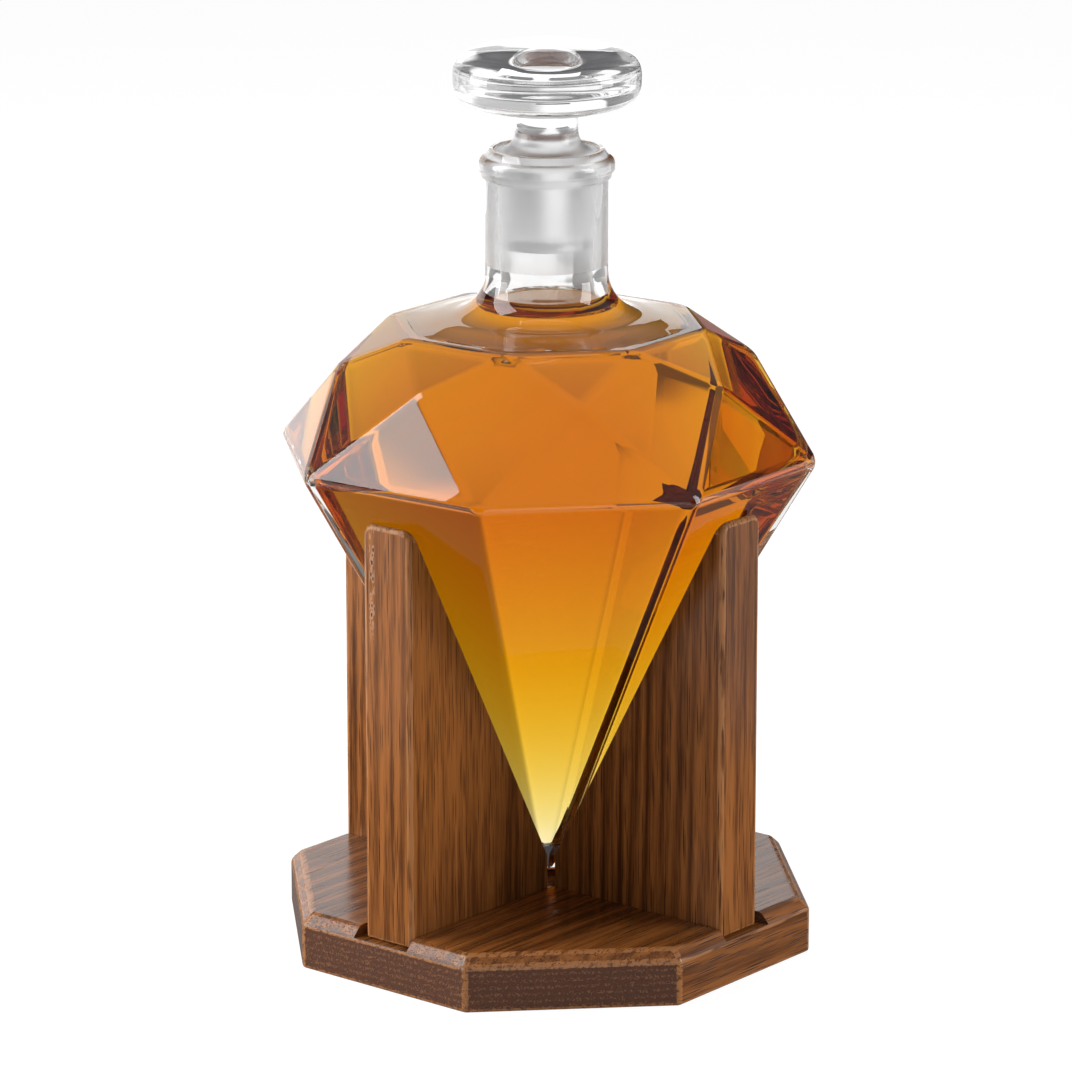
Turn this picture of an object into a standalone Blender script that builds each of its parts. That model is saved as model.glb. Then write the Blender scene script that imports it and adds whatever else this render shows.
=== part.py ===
"""A faceted glass decanter with a ground stopper, hanging point down in a four-armed wooden stand.

Metres, +Z up. The origin is the middle of the stand's underside. The front of the stand faces -Y.
"""

import math

import bmesh
import bpy
from mathutils import Matrix, Vector

# Stand: an eight-sided base with a flat side to the front, and four arms on its diagonals.
base_width = 0.1393
base_thickness = 0.0156
base_chamfer = 0.0029
groove_depth = 0.0030
groove_snug_gap = 0.0004
groove_slack_gap = 0.0022
arm_thickness = 0.0162
arm_height = 0.1124
arm_outer_reach = 0.0670
arm_inner_reach = 0.0093
arm_edge_radius = 0.0012
arm_corner_radius = 0.0030
foot_gap = 0.0003

# Screws: two from below into each arm, heads sunk in the underside.
screw_length = 0.0260
screw_shank_radius = 0.0020
screw_head_radius = 0.0040
screw_head_height = 0.0025
screw_point_length = 0.0045
screw_point_radius = 0.0007
screw_sink = 0.0006
screw_hole_gap = 0.0003
screw_inner_reach = 0.0270
screw_outer_reach = 0.0540

# Decanter: the widest ring is the girdle, the crown is above it and the pavilion below.
seat_gap = 0.0003
glass_turn = math.radians(3.0)
glass_wall = 0.0042
apex_height = 0.0085
pavilion_depth = 0.1290
girdle_radius = 0.0756
break_radius = 0.0573
table_radius = 0.0438
table_rise = 0.0352
table_trim = 0.0004
tip_radius = 0.0094
inner_tip_radius = 0.0080
tip_easing = math.radians(5)
shoulder_slope = 0.02
shoulder_fillet = 0.0120
neck_radius = 0.0167
lip_radius = 0.0185
lip_drop = 0.0018
lip_round = 0.0024
lip_round_angle = math.radians(75)
lip_thickness = 0.0077
lip_under_rise = 0.0013
neck_top_rise = 0.0827

# Stopper: a ground plug in the neck's ground bore, with a stem and a flat knob above the lip.
ground_length = 0.0322
ground_taper = 0.05
plug_gap = 0.0003
plug_length = 0.0265
plug_chamfer = 0.0010
plug_cap_rise = 0.0009
plug_cap_radius = 0.0120
plug_cap_height = 0.0027
stem_radius = 0.0085
stem_top_rise = 0.0098
knob_radius = 0.0256
knob_thickness = 0.0185
knob_squareness = 2.5
dimple_radius = 0.0104
dimple_depth = 0.0013

# Fineness of the round shapes, and how far a cutter runs past what it cuts.
sides = 8
glass_segments = 48
screw_segments = 16
arc_steps = 6
overrun = 0.005
smooth_angle = math.radians(30)

half_side = math.pi / sides
base_radius = base_width / 2 / math.cos(half_side)
floor_height = base_thickness - groove_depth
girdle_height = apex_height + pavilion_depth
girdle_apothem = girdle_radius * math.cos(half_side)
pavilion_slope = pavilion_depth / girdle_apothem
lip_height = girdle_height + neck_top_rise


def clear_scene():
    for obj in list(bpy.data.objects):
        bpy.data.objects.remove(obj, do_unlink=True)


def new_collection(name):
    collection = bpy.data.collections.new(name)
    bpy.context.scene.collection.children.link(collection)
    return collection


def new_material(name, color, roughness, metallic=0.0, transmission=0.0):
    material = bpy.data.materials.new(name)
    material.use_nodes = True
    shader = material.node_tree.nodes["Principled BSDF"]
    shader.inputs["Base Color"].default_value = (*color, 1.0)
    shader.inputs["Roughness"].default_value = roughness
    shader.inputs["Metallic"].default_value = metallic
    shader.inputs["Transmission Weight"].default_value = transmission
    return material


clear_scene()
decanter = new_collection("decanter")
cutters = new_collection("cutters")
glass = new_material("clear_glass", (0.96, 0.97, 0.98), 0.03, transmission=1.0)
base_wood = new_material("base_wood", (0.20, 0.085, 0.032), 0.35)
arm_wood = new_material("arm_wood", (0.23, 0.10, 0.038), 0.40)
steel = new_material("screw_steel", (0.62, 0.61, 0.58), 0.35, metallic=1.0)


def add_object(name, mesh_builder, material=None):
    """Turns a bmesh into an object: a part if it has a material, otherwise a cutter."""
    mesh = bpy.data.meshes.new(name)
    bmesh.ops.recalc_face_normals(mesh_builder, faces=mesh_builder.faces)
    mesh_builder.to_mesh(mesh)
    mesh_builder.free()
    obj = bpy.data.objects.new(name, mesh)
    if material:
        mesh.materials.append(material)
        decanter.objects.link(obj)
    else:
        cutters.objects.link(obj)
        obj.hide_render = True
        obj.display_type = "WIRE"
    return obj


def smooth_round_faces(obj):
    obj.data.shade_smooth()
    obj.data.set_sharp_from_angle(angle=smooth_angle)


def combine(obj, other, operation):
    modifier = obj.modifiers.new(f"{operation.lower()}_{other.name}", "BOOLEAN")
    modifier.operation = operation
    modifier.object = other


def box(length, width, height):
    """A box that stands on z = 0, centred in x and y."""
    shape = bmesh.new()
    placing = Matrix.Translation((0, 0, height / 2)) @ Matrix.Diagonal((length, width, height, 1))
    bmesh.ops.create_cube(shape, size=1, matrix=placing)
    return shape


def prism(radius, height, count, turn=0.0):
    """An upright prism on z = 0, whose first flat side faces the direction of turn."""
    shape = bmesh.new()
    placing = Matrix.Translation((0, 0, height / 2)) @ Matrix.Rotation(turn + math.pi / count, 4, "Z")
    bmesh.ops.create_cone(
        shape, cap_ends=True, segments=count, radius1=radius, radius2=radius, depth=height, matrix=placing
    )
    return shape


def turned(name, profile, segments, material=None):
    """Turns a profile of (radius, height) pairs, listed from the top down, about the Z axis."""
    mesh = bpy.data.meshes.new(name)
    points = [(radius, 0, height) for radius, height in profile]
    mesh.from_pydata(points, [(i, i + 1) for i in range(len(points) - 1)], [])
    obj = bpy.data.objects.new(name, mesh)
    screw = obj.modifiers.new("turn", "SCREW")
    screw.steps = segments
    screw.render_steps = segments
    screw.use_merge_vertices = True
    screw.merge_threshold = 0.00001
    if material:
        mesh.materials.append(material)
        decanter.objects.link(obj)
    else:
        cutters.objects.link(obj)
        obj.hide_render = True
        obj.display_type = "WIRE"
    return obj


def arc(centre, radius, start, end, steps=arc_steps):
    """Points of an arc in the profile's plane, from one angle to another in radians."""
    angles = [start + (end - start) * i / steps for i in range(steps + 1)]
    return [(centre[0] + radius * math.cos(a), centre[1] + radius * math.sin(a)) for a in angles]


# Base plate: an eight-sided board, chamfered along its top, with two crossing grooves for the arms.
def rim_edges(shape, height):
    return [e for e in shape.edges if all(math.isclose(v.co.z, height, abs_tol=overrun / 100) for v in e.verts)]


def make_base():
    shape = prism(base_radius, base_thickness, sides)
    top_edges = rim_edges(shape, base_thickness)
    bmesh.ops.bevel(shape, geom=top_edges, offset=base_chamfer, segments=1, affect="EDGES")
    base = add_object("base_plate", shape, base_wood)
    groove_width = arm_thickness + groove_snug_gap + groove_slack_gap
    groove_shift = (groove_slack_gap - groove_snug_gap) / 2
    for side, name in ((1, "groove_right"), (-1, "groove_left")):
        cutter = add_object(name, box(base_radius * 2, groove_width, groove_depth + overrun))
        turn = Matrix.Rotation(side * math.pi / 4, 4, "Z")
        cutter.matrix_world = turn @ Matrix.Translation((0, groove_shift, floor_height))
        combine(base, cutter, "DIFFERENCE")
    return base


# Arms: upright boards whose sloped inner edge runs parallel to a face of the pavilion.
arm_foot = floor_height + foot_gap
arm_top = base_thickness + arm_height
seat_offset = seat_gap + arm_thickness / 2 * math.sin(glass_turn)
seat_drop = seat_offset * math.hypot(1, pavilion_slope)
arm_directions = {"front_left": -135, "front_right": -45, "back_right": 45, "back_left": 135}


def arm_shape():
    """One arm lying along +X, with its thickness across Y."""
    length = arm_outer_reach - arm_inner_reach
    middle = arm_inner_reach + length / 2
    shape = box(length, arm_thickness, arm_top - arm_foot)
    bmesh.ops.translate(shape, verts=shape.verts, vec=(middle, 0, arm_foot))
    top_sides = [e for e in rim_edges(shape, arm_top) if abs(e.verts[0].co.x - e.verts[1].co.x) > overrun]
    bmesh.ops.bevel(
        shape, geom=top_sides, offset=arm_corner_radius, segments=arc_steps, profile=0.5, affect="EDGES"
    )
    outer = [e for e in shape.edges if all(v.co.x > middle for v in e.verts)]
    outer_rim = [e for e in outer if any(v.co.z > arm_foot + overrun for v in e.verts)]
    bmesh.ops.bevel(
        shape, geom=outer_rim, offset=arm_edge_radius, segments=2, profile=0.5, affect="EDGES"
    )
    on_slope = Vector((0, 0, apex_height - seat_drop))
    inward = Vector((-pavilion_slope, 0, 1))
    cut = bmesh.ops.bisect_plane(
        shape, geom=[*shape.verts, *shape.edges, *shape.faces], plane_co=on_slope, plane_no=inward, clear_outer=True
    )
    open_edges = [e for e in cut["geom_cut"] if isinstance(e, bmesh.types.BMEdge)]
    bmesh.ops.contextual_create(shape, geom=open_edges)
    return shape


def make_arms(holes):
    for name, degrees in arm_directions.items():
        arm = add_object(f"arm_{name}", arm_shape(), arm_wood)
        arm.rotation_euler.z = math.radians(degrees)
        smooth_round_faces(arm)
        combine(arm, holes, "DIFFERENCE")


# Screws: eight alike share one turned mesh, and one set of holes serves the base and the arms.
def screw_profile(gap):
    """Point, shank and head from the top down, grown by a gap for the hole it goes in."""
    tip = screw_sink + screw_length + gap
    shank = screw_shank_radius + gap
    head = screw_head_radius + gap
    head_foot = -overrun if gap else screw_sink
    return [
        (0, tip),
        (screw_point_radius + gap, tip),
        (shank, tip - screw_point_length),
        (shank, screw_sink + screw_head_height + gap),
        (head, screw_sink + gap),
        (head, head_foot),
        (0, head_foot),
    ]


def screw_places():
    """Each screw's name and its place on the underside."""
    for name, degrees in arm_directions.items():
        for spot, reach in (("inner", screw_inner_reach), ("outer", screw_outer_reach)):
            turn = Matrix.Rotation(math.radians(degrees), 4, "Z")
            yield f"{name}_{spot}", turn @ Matrix.Translation((reach, 0, 0))


def finished_mesh(obj):
    """The mesh that an object's modifiers give, with the object itself taken away."""
    evaluated = obj.evaluated_get(bpy.context.evaluated_depsgraph_get())
    mesh = bpy.data.meshes.new_from_object(evaluated)
    bpy.data.objects.remove(obj, do_unlink=True)
    return mesh


def make_screws():
    mesh = finished_mesh(turned("screw_pattern", screw_profile(0), screw_segments))
    mesh.materials.append(steel)
    for name, place in screw_places():
        screw = bpy.data.objects.new(f"screw_{name}", mesh)
        screw.matrix_world = place
        decanter.objects.link(screw)


def make_screw_holes():
    single = finished_mesh(turned("screw_hole", screw_profile(screw_hole_gap), screw_segments))
    shape = bmesh.new()
    for _, place in screw_places():
        first = len(shape.verts)
        shape.from_mesh(single)
        shape.verts.ensure_lookup_table()
        bmesh.ops.transform(shape, matrix=place, verts=shape.verts[first:])
    return add_object("screw_holes", shape)


# Decanter: facet planes cut a gem, a turned blank gives its shoulder, neck and tip.
def facet_planes():
    """Each facet as a slope, the direction it faces and a point on it, as radius and height."""
    kite_slope = table_rise / (girdle_radius - table_radius)
    break_rise = kite_slope * (girdle_radius - break_radius * math.cos(half_side))
    girdle_slope = break_rise / (girdle_apothem - break_radius)
    table_apothem = table_radius * math.cos(half_side)
    star_slope = (table_rise - break_rise) / (break_radius - table_apothem)
    kinds = (
        (-pavilion_slope, 0, girdle_apothem, 0),
        (girdle_slope, 0, girdle_apothem, 0),
        (kite_slope, half_side, girdle_radius, 0),
        (star_slope, 0, break_radius, break_rise),
    )
    for slope, turn, radius, rise in kinds:
        for i in range(sides):
            yield slope, turn + i * 2 * half_side, radius, girdle_height + rise


def gem_shape(inset):
    """The faceted body without its neck, every facet moved inwards by the inset."""
    shape = prism(girdle_radius * 2, lip_height * 2, sides)
    for slope, direction, radius, height in facet_planes():
        facing = Vector((math.cos(direction + glass_turn), math.sin(direction + glass_turn), 0))
        normal = (facing * abs(slope) + Vector((0, 0, math.copysign(1, slope)))).normalized()
        point = facing * radius + Vector((0, 0, height)) - normal * inset
        cut = bmesh.ops.bisect_plane(
            shape, geom=[*shape.verts, *shape.edges, *shape.faces], plane_co=point, plane_no=normal, clear_outer=True
        )
        open_edges = [e for e in cut["geom_cut"] if isinstance(e, bmesh.types.BMEdge)]
        bmesh.ops.contextual_create(shape, geom=open_edges)
    return shape


def shoulder_profile(radius, inset):
    """From the foot of the neck down the hollow fillet and out over the shoulder's cone."""
    tilt = math.atan(shoulder_slope)
    fillet = shoulder_fillet + (neck_radius - radius)
    centre_radius = neck_radius + shoulder_fillet
    touch_radius = centre_radius - fillet * math.sin(tilt)
    table = girdle_height + table_rise - table_trim - inset * math.hypot(1, shoulder_slope)
    touch_height = table + shoulder_slope * (table_radius - touch_radius)
    centre = (centre_radius, touch_height + fillet * math.cos(tilt))
    edge_radius = girdle_radius + overrun
    edge = (edge_radius, table - shoulder_slope * (edge_radius - table_radius))
    return [*arc(centre, fillet, math.pi, math.pi * 1.5 - tilt, arc_steps * 2), edge]


def tip_profile(radius, inset):
    """From the girdle in under the pavilion to a round tip that the pavilion's edges run into."""
    edge_slope = pavilion_depth / girdle_radius
    apex = apex_height + inset * math.hypot(1, pavilion_slope)
    centre = (0, apex + radius * math.hypot(1, edge_slope))
    steepest = math.atan(edge_slope) - tip_easing
    cap = arc(centre, radius, steepest - math.pi / 2, -math.pi / 2)
    start = cap[0]
    outer_radius = girdle_radius + overrun
    outer = (outer_radius, start[1] + math.tan(steepest) * (outer_radius - start[0]))
    return [outer, *cap[:-1], (0, cap[-1][1])]


def outer_profile():
    lip_side = lip_height - lip_drop
    side_bottom = lip_height - lip_thickness + lip_under_rise
    bore = bore_radius(lip_height)
    crest = [(0, lip_height), (bore, lip_height)]
    round_centre = (lip_radius - lip_round, lip_side - lip_round)
    rounded = arc(round_centre, lip_round, lip_round_angle, 0)
    under = [(lip_radius, side_bottom), (neck_radius, side_bottom - lip_under_rise)]
    return [*crest, *rounded, *under, *shoulder_profile(neck_radius, 0), *tip_profile(tip_radius, 0)]


def bore_radius(height):
    """The ground bore narrows downwards from the lip, then runs straight."""
    ground_foot = lip_height - ground_length
    return neck_radius - glass_wall + ground_taper * max(0, height - ground_foot)


def hollow_profile():
    above = lip_height + overrun
    ground_foot = lip_height - ground_length
    straight = bore_radius(ground_foot)
    bore = [(0, above), (bore_radius(above), above), (straight, ground_foot)]
    return [*bore, *shoulder_profile(straight, glass_wall), *tip_profile(inner_tip_radius, glass_wall)]


def neck_column(name, radius):
    """Keeps the neck and the foot of its fillet when the gem's facets are cut."""
    height = lip_height + overrun * 2 - girdle_height
    column = add_object(name, prism(radius, height, glass_segments))
    column.location.z = girdle_height
    return column


def make_decanter():
    body = turned("decanter_body", outer_profile(), glass_segments, glass)
    gem = add_object("gem", gem_shape(0))
    combine(gem, neck_column("neck_column", neck_radius + shoulder_fillet / 2), "UNION")
    combine(body, gem, "INTERSECT")
    hollow = turned("hollow", hollow_profile(), glass_segments)
    inner_gem = add_object("inner_gem", gem_shape(glass_wall))
    combine(inner_gem, neck_column("inner_neck_column", neck_radius + shoulder_fillet / 4), "UNION")
    combine(hollow, inner_gem, "INTERSECT")
    combine(body, hollow, "DIFFERENCE")
    return body


# Stopper: knob, stem and ground plug are one piece of glass, on the neck's axis.
def knob_profile(centre_height):
    """A flat round knob: a dimple in the top, then a squarish oval section down to the stem."""
    half = knob_thickness / 2
    top = centre_height + half
    sphere = (dimple_radius**2 + dimple_depth**2) / (2 * dimple_depth)
    spread = math.asin(dimple_radius / sphere)
    dimple = [
        (sphere * math.sin(spread * i / 3), top - dimple_depth + sphere * (1 - math.cos(spread * i / 3)))
        for i in range(4)
    ]
    power = 2 / knob_squareness
    section = []
    for i in range(arc_steps * 4 + 1):
        angle = math.pi / 2 - math.pi * i / (arc_steps * 4)
        radius = knob_radius * math.cos(angle) ** power if abs(angle) < math.pi / 2 else 0
        height = centre_height + math.copysign(half * abs(math.sin(angle)) ** power, angle)
        section.append((radius, height))
    upper = [p for p in section if p[0] > dimple_radius and p[1] > centre_height - half / 2]
    lower = [p for p in section if p[0] > stem_radius and p[1] <= centre_height - half / 2]
    return dimple, upper, lower


def stopper_profile():
    knob_bottom = lip_height + stem_top_rise
    centre_height = knob_bottom + knob_thickness / 2
    dimple, upper, lower = knob_profile(centre_height)
    cap_top = lip_height + plug_cap_height + plug_cap_rise
    shoulder = [(stem_radius, cap_top), (plug_cap_radius, lip_height + plug_cap_rise)]
    plug_top = lip_height - plug_gap
    plug_bottom = lip_height - plug_length
    plug = [
        (bore_radius(plug_top) - plug_gap, plug_top),
        (bore_radius(plug_bottom + plug_chamfer) - plug_gap, plug_bottom + plug_chamfer),
        (bore_radius(plug_bottom) - plug_gap - plug_chamfer, plug_bottom),
        (0, plug_bottom),
    ]
    return [*dimple, *upper, *lower, (stem_radius, knob_bottom), *shoulder, *plug]


def make_stopper():
    return turned("stopper", stopper_profile(), glass_segments, glass)


make_screws()
screw_holes = make_screw_holes()
combine(make_base(), screw_holes, "DIFFERENCE")
make_arms(screw_holes)
make_decanter()
make_stopper()
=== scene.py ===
"""A gem-shaped glass decanter, filled and stoppered, hanging point down in its wooden stand.

Metres, +Z up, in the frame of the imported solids. The front of the stand faces -Y.
"""

import math

import bmesh
import bpy
from mathutils import Matrix, Vector


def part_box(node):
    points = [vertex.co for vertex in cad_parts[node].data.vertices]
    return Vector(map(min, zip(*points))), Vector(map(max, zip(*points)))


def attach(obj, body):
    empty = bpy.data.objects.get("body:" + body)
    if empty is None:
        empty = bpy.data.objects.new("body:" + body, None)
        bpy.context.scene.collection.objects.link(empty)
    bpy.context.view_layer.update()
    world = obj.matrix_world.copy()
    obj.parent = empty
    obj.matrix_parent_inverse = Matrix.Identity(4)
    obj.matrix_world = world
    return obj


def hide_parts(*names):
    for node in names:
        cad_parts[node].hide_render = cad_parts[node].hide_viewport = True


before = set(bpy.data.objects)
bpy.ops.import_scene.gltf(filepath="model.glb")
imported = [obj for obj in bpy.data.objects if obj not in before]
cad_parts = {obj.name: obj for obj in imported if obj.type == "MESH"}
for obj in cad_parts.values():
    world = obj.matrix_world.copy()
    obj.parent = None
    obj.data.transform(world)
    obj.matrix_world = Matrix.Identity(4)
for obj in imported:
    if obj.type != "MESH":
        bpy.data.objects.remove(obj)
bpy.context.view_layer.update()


# The camera stands a little to the left of the front, above the knob's height, and looks down on the glass
# with a long lens.
image_side = 1072
focal_pixels = 5240.0
aim_pixel = (546.6, 491.1)
aim_height = 0.125
camera_distance = 1.4316
camera_turn = math.radians(-5.7)
camera_rise = math.radians(14.13)
sensor_width = 36.0

camera_data = bpy.data.cameras.new("camera")
camera = bpy.data.objects.new("camera", camera_data)
bpy.context.scene.collection.objects.link(camera)
camera_data.sensor_width = sensor_width
camera_data.lens = sensor_width * focal_pixels / image_side
camera_data.shift_x = (image_side / 2 - aim_pixel[0]) / image_side
camera_data.shift_y = (aim_pixel[1] - image_side / 2) / image_side
level_reach = camera_distance * math.cos(camera_rise)
camera.location = (
    level_reach * math.sin(camera_turn),
    -level_reach * math.cos(camera_turn),
    aim_height + camera_distance * math.sin(camera_rise),
)
aim = Vector((0, 0, aim_height))
camera.rotation_euler = (aim - camera.location).to_track_quat("-Z", "Y").to_euler()
bpy.context.scene.camera = camera
bpy.context.scene.view_settings.view_transform = "Standard"


# The studio: a white paper floor and white surroundings, with a tall soft box on each side, a small one low
# on the left, one overhead and four low cards. Dark flags in the sky, seen only through or in the glass, and
# painted shade on the floor, seen only through the glass, give it its dark lines: the floor is painted darker
# near the stand and in soft patches, with one patch of painted light. In reflections near the stand the floor
# is a dim glow, a painted shade.
def add_node(tree, kind, inputs=None, **settings):
    """A shader node with its settings, and with each input either fixed or linked."""
    node = tree.nodes.new(kind)
    for key, value in settings.items():
        setattr(node, key, value)
    for key, value in (inputs or {}).items():
        if isinstance(value, bpy.types.NodeSocket):
            tree.links.new(value, node.inputs[key])
        else:
            node.inputs[key].default_value = value
    return node


def maths(tree, operation, *values, clamp=False):
    inputs = dict(enumerate(values))
    return add_node(tree, "ShaderNodeMath", inputs, operation=operation, use_clamp=clamp).outputs[0]


def product(tree, *values):
    """The product of all the values."""
    total = values[0]
    for value in values[1:]:
        total = maths(tree, "MULTIPLY", total, value)
    return total


def distance(tree, value, middle):
    """How far the value is from the middle, on either side."""
    return maths(tree, "ABSOLUTE", maths(tree, "SUBTRACT", value, middle))


def mapped(tree, value, low, high, to_low=0.0, to_high=1.0):
    """The value moved smoothly from one range to another and held inside it. Low may be above high."""
    places = {0: value, 1: low, 2: high, 3: to_low, 4: to_high}
    return add_node(tree, "ShaderNodeMapRange", places, interpolation_type="SMOOTHSTEP").outputs[0]


def blended(tree, factor, first, second, blend_type="MIX"):
    """The mix of two colours."""
    node = add_node(tree, "ShaderNodeMix", data_type="RGBA", blend_type=blend_type)
    for index, value in ((0, factor), (6, first), (7, second)):
        if isinstance(value, bpy.types.NodeSocket):
            tree.links.new(value, node.inputs[index])
        else:
            node.inputs[index].default_value = value
    return node.outputs[2]


studio_white = (1.0, 1.0, 1.0, 1.0)
studio_grey = (0.22, 0.22, 0.23, 1.0)
tip_flag_grey = (0.06, 0.06, 0.065, 1.0)
mirrored_low_grey = (0.06, 0.06, 0.065, 1.0)
mirrored_high_grey = (0.42, 0.42, 0.43, 1.0)
mirrored_edge = (0.28, 0.50)
bright_white = (1.12, 1.12, 1.12, 1.0)
corner_flag_grey = (0.55, 0.55, 0.55, 1.0)
corner_flag_turn = math.radians(27.0)
corner_flag_count = 4.0
corner_flag_edge = (0.0, 0.6)
left_flag_grey = (0.22, 0.22, 0.22, 1.0)
left_flag_edges = (-0.37, -0.42), (-0.95, -0.85)
tip_flag_azimuth = 0.05
tip_flag_half_width = (0.14, 0.12)
tip_flag_rise = 0.28
tip_flag_half_height = (0.06, 0.05)
high_flag_grey = (0.10, 0.10, 0.105, 1.0)
high_flag_edge = (0.38, 0.50)

world = bpy.data.worlds.new("studio")
bpy.context.scene.world = world
world.use_nodes = True
world_tree = world.node_tree
world_tree.nodes.clear()
rays = add_node(world_tree, "ShaderNodeLightPath").outputs
direction = add_node(world_tree, "ShaderNodeTexCoord").outputs["Generated"]
axes = add_node(world_tree, "ShaderNodeSeparateXYZ", {0: direction}).outputs
azimuth = maths(world_tree, "ARCTAN2", axes[0], axes[1])
wave_place = product(world_tree, maths(world_tree, "SUBTRACT", azimuth, corner_flag_turn), corner_flag_count)
corner_flags = mapped(world_tree, maths(world_tree, "COSINE", wave_place), *corner_flag_edge)
left_flag = product(world_tree, *(mapped(world_tree, azimuth, *edge) for edge in left_flag_edges))
tip_flag = product(
    world_tree,
    mapped(world_tree, distance(world_tree, azimuth, tip_flag_azimuth), *tip_flag_half_width),
    mapped(world_tree, distance(world_tree, axes[2], tip_flag_rise), *tip_flag_half_height),
)
seen_through = blended(world_tree, corner_flags, bright_white, corner_flag_grey)
seen_through = blended(world_tree, left_flag, seen_through, left_flag_grey)
seen_through = blended(world_tree, tip_flag, seen_through, tip_flag_grey)
high_flag = mapped(world_tree, axes[2], *high_flag_edge)
seen_through = blended(world_tree, high_flag, seen_through, high_flag_grey)
mirrored = mapped(world_tree, axes[2], *mirrored_edge)
mirrored = blended(world_tree, mirrored, mirrored_low_grey, mirrored_high_grey)
scattered = maths(world_tree, "GREATER_THAN", rays["Diffuse Depth"], 0.5)
around = blended(world_tree, rays["Is Glossy Ray"], studio_grey, mirrored)
around = blended(world_tree, rays["Is Transmission Ray"], around, seen_through)
around = blended(world_tree, scattered, around, studio_grey)
around = blended(world_tree, rays["Is Camera Ray"], around, studio_white)
sky = add_node(world_tree, "ShaderNodeBackground", {"Color": around, "Strength": 1.0})
add_node(world_tree, "ShaderNodeOutputWorld", {"Surface": sky.outputs[0]})


def soft_box(name, place, size, watts, target=aim, hidden_from=()):
    """A rectangular lamp that faces its target. The camera and the named kinds of rays don't see it."""
    lamp = bpy.data.lights.new(name, "AREA")
    lamp.shape = "RECTANGLE"
    lamp.size, lamp.size_y = size
    lamp.energy = watts
    holder = bpy.data.objects.new(name, lamp)
    bpy.context.scene.collection.objects.link(holder)
    holder.location = place
    holder.rotation_euler = (Vector(target) - holder.location).to_track_quat("-Z", "Y").to_euler()
    holder.visible_camera = False
    for kind in hidden_from:
        setattr(holder, f"visible_{kind}", False)


through_glass = ("transmission",)
everywhere = ("glossy", "transmission")
soft_box(
    "left_soft_box", place=(-0.95, 0.115, 0.68), size=(0.57, 1.3), watts=15.0,
    target=(0, 0.115, 0.30), hidden_from=through_glass,
)
soft_box("right_soft_box", place=(1.05, -0.35, 0.50), size=(0.4, 0.9), watts=8.0, hidden_from=through_glass)
soft_box(
    "left_fill", place=(-0.90, 0.15, 0.22), size=(0.3, 0.3), watts=3.0,
    target=(0, 0, 0.08), hidden_from=everywhere,
)
soft_box(
    "top_soft_box", place=(0.2, 0.45, 1.6), size=(1.2, 1.2), watts=6.0,
    target=(0.2, 0.45, 0), hidden_from=("glossy",),
)
card_width = 1.1
card_distance = 1.0
card_aside = -0.25
card_heights = (0.62, 0.38, 0.38, 0.38)
watts_per_metre = 4.3
for side, card_height in enumerate(card_heights):
    around_z = Matrix.Rotation(-side * math.pi / 2, 3, "Z")
    place = around_z @ Vector((card_aside, card_distance, card_height / 2))
    target = place * 0.5 + Vector((0, 0, card_height / 4))
    soft_box(
        f"low_card_{side}", place, (card_width, card_height), watts_per_metre * card_height,
        target=target, hidden_from=through_glass,
    )

floor_width = 12.0
paper_white = (0.88, 0.88, 0.88, 1.0)
seen_glow_share = 0.8
seen_brightness = 1.13
# In reflections, the floor near the stand is a fixed dim glow: painted shade.
mirrored_brightness = 0.2
near_reach = (0.34, 0.20)
shade_reach = (0.10, 0.38)
shade_strength = (0.30, 1.05)
# Soft-edged patches of painted shade on the floor, seen only through the glass (a shade above 1 paints light
# instead): centre, half size, width of the edge and shade.
painted_floor_patches = (
    ((-0.36, 0.87), (0.25, 0.43), 0.03, 0.20),
    ((0.78, 0.86), (0.67, 0.45), 0.04, 0.25),
    ((-1.45, -1.20), (0.32, 0.45), 0.04, 0.10),
    ((-0.17, -0.09), (0.10, 0.14), 0.03, 0.15),
    ((-0.12, 0.23), (0.035, 0.12), 0.015, 1.25),
    ((-0.03, 0.20), (0.045, 0.06), 0.015, 0.80),
    ((-0.10, -0.60), (0.22, 0.52), 0.06, 0.15),
)
bpy.ops.object.select_all(action="DESELECT")
bpy.ops.mesh.primitive_grid_add(x_subdivisions=2, y_subdivisions=2, size=floor_width)
floor = bpy.context.active_object
floor.name = "floor"
white_paper = bpy.data.materials.new("white_paper")
white_paper.use_nodes = True
paper_tree = white_paper.node_tree
paper_tree.nodes.clear()
paper = add_node(paper_tree, "ShaderNodeBsdfDiffuse", {"Color": paper_white})
paper_rays = add_node(paper_tree, "ShaderNodeLightPath").outputs
spot = add_node(paper_tree, "ShaderNodeTexCoord").outputs["Object"]
spot_axes = add_node(paper_tree, "ShaderNodeSeparateXYZ", {0: spot}).outputs
reach = add_node(paper_tree, "ShaderNodeVectorMath", {0: spot}, operation="LENGTH").outputs["Value"]
not_scattered = maths(paper_tree, "LESS_THAN", paper_rays["Diffuse Depth"], 0.5)
bent = product(paper_tree, paper_rays["Is Transmission Ray"], not_scattered)
seen = product(paper_tree, paper_rays["Is Camera Ray"], seen_glow_share)
# Glossy rays near the stand see the dim glow instead of the lit paper, a painted shade.
mirrored_near_shade = product(paper_tree, paper_rays["Is Glossy Ray"], mapped(paper_tree, reach, *near_reach))
glow_share = maths(paper_tree, "MAXIMUM", maths(paper_tree, "MAXIMUM", seen, bent), mirrored_near_shade)
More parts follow.
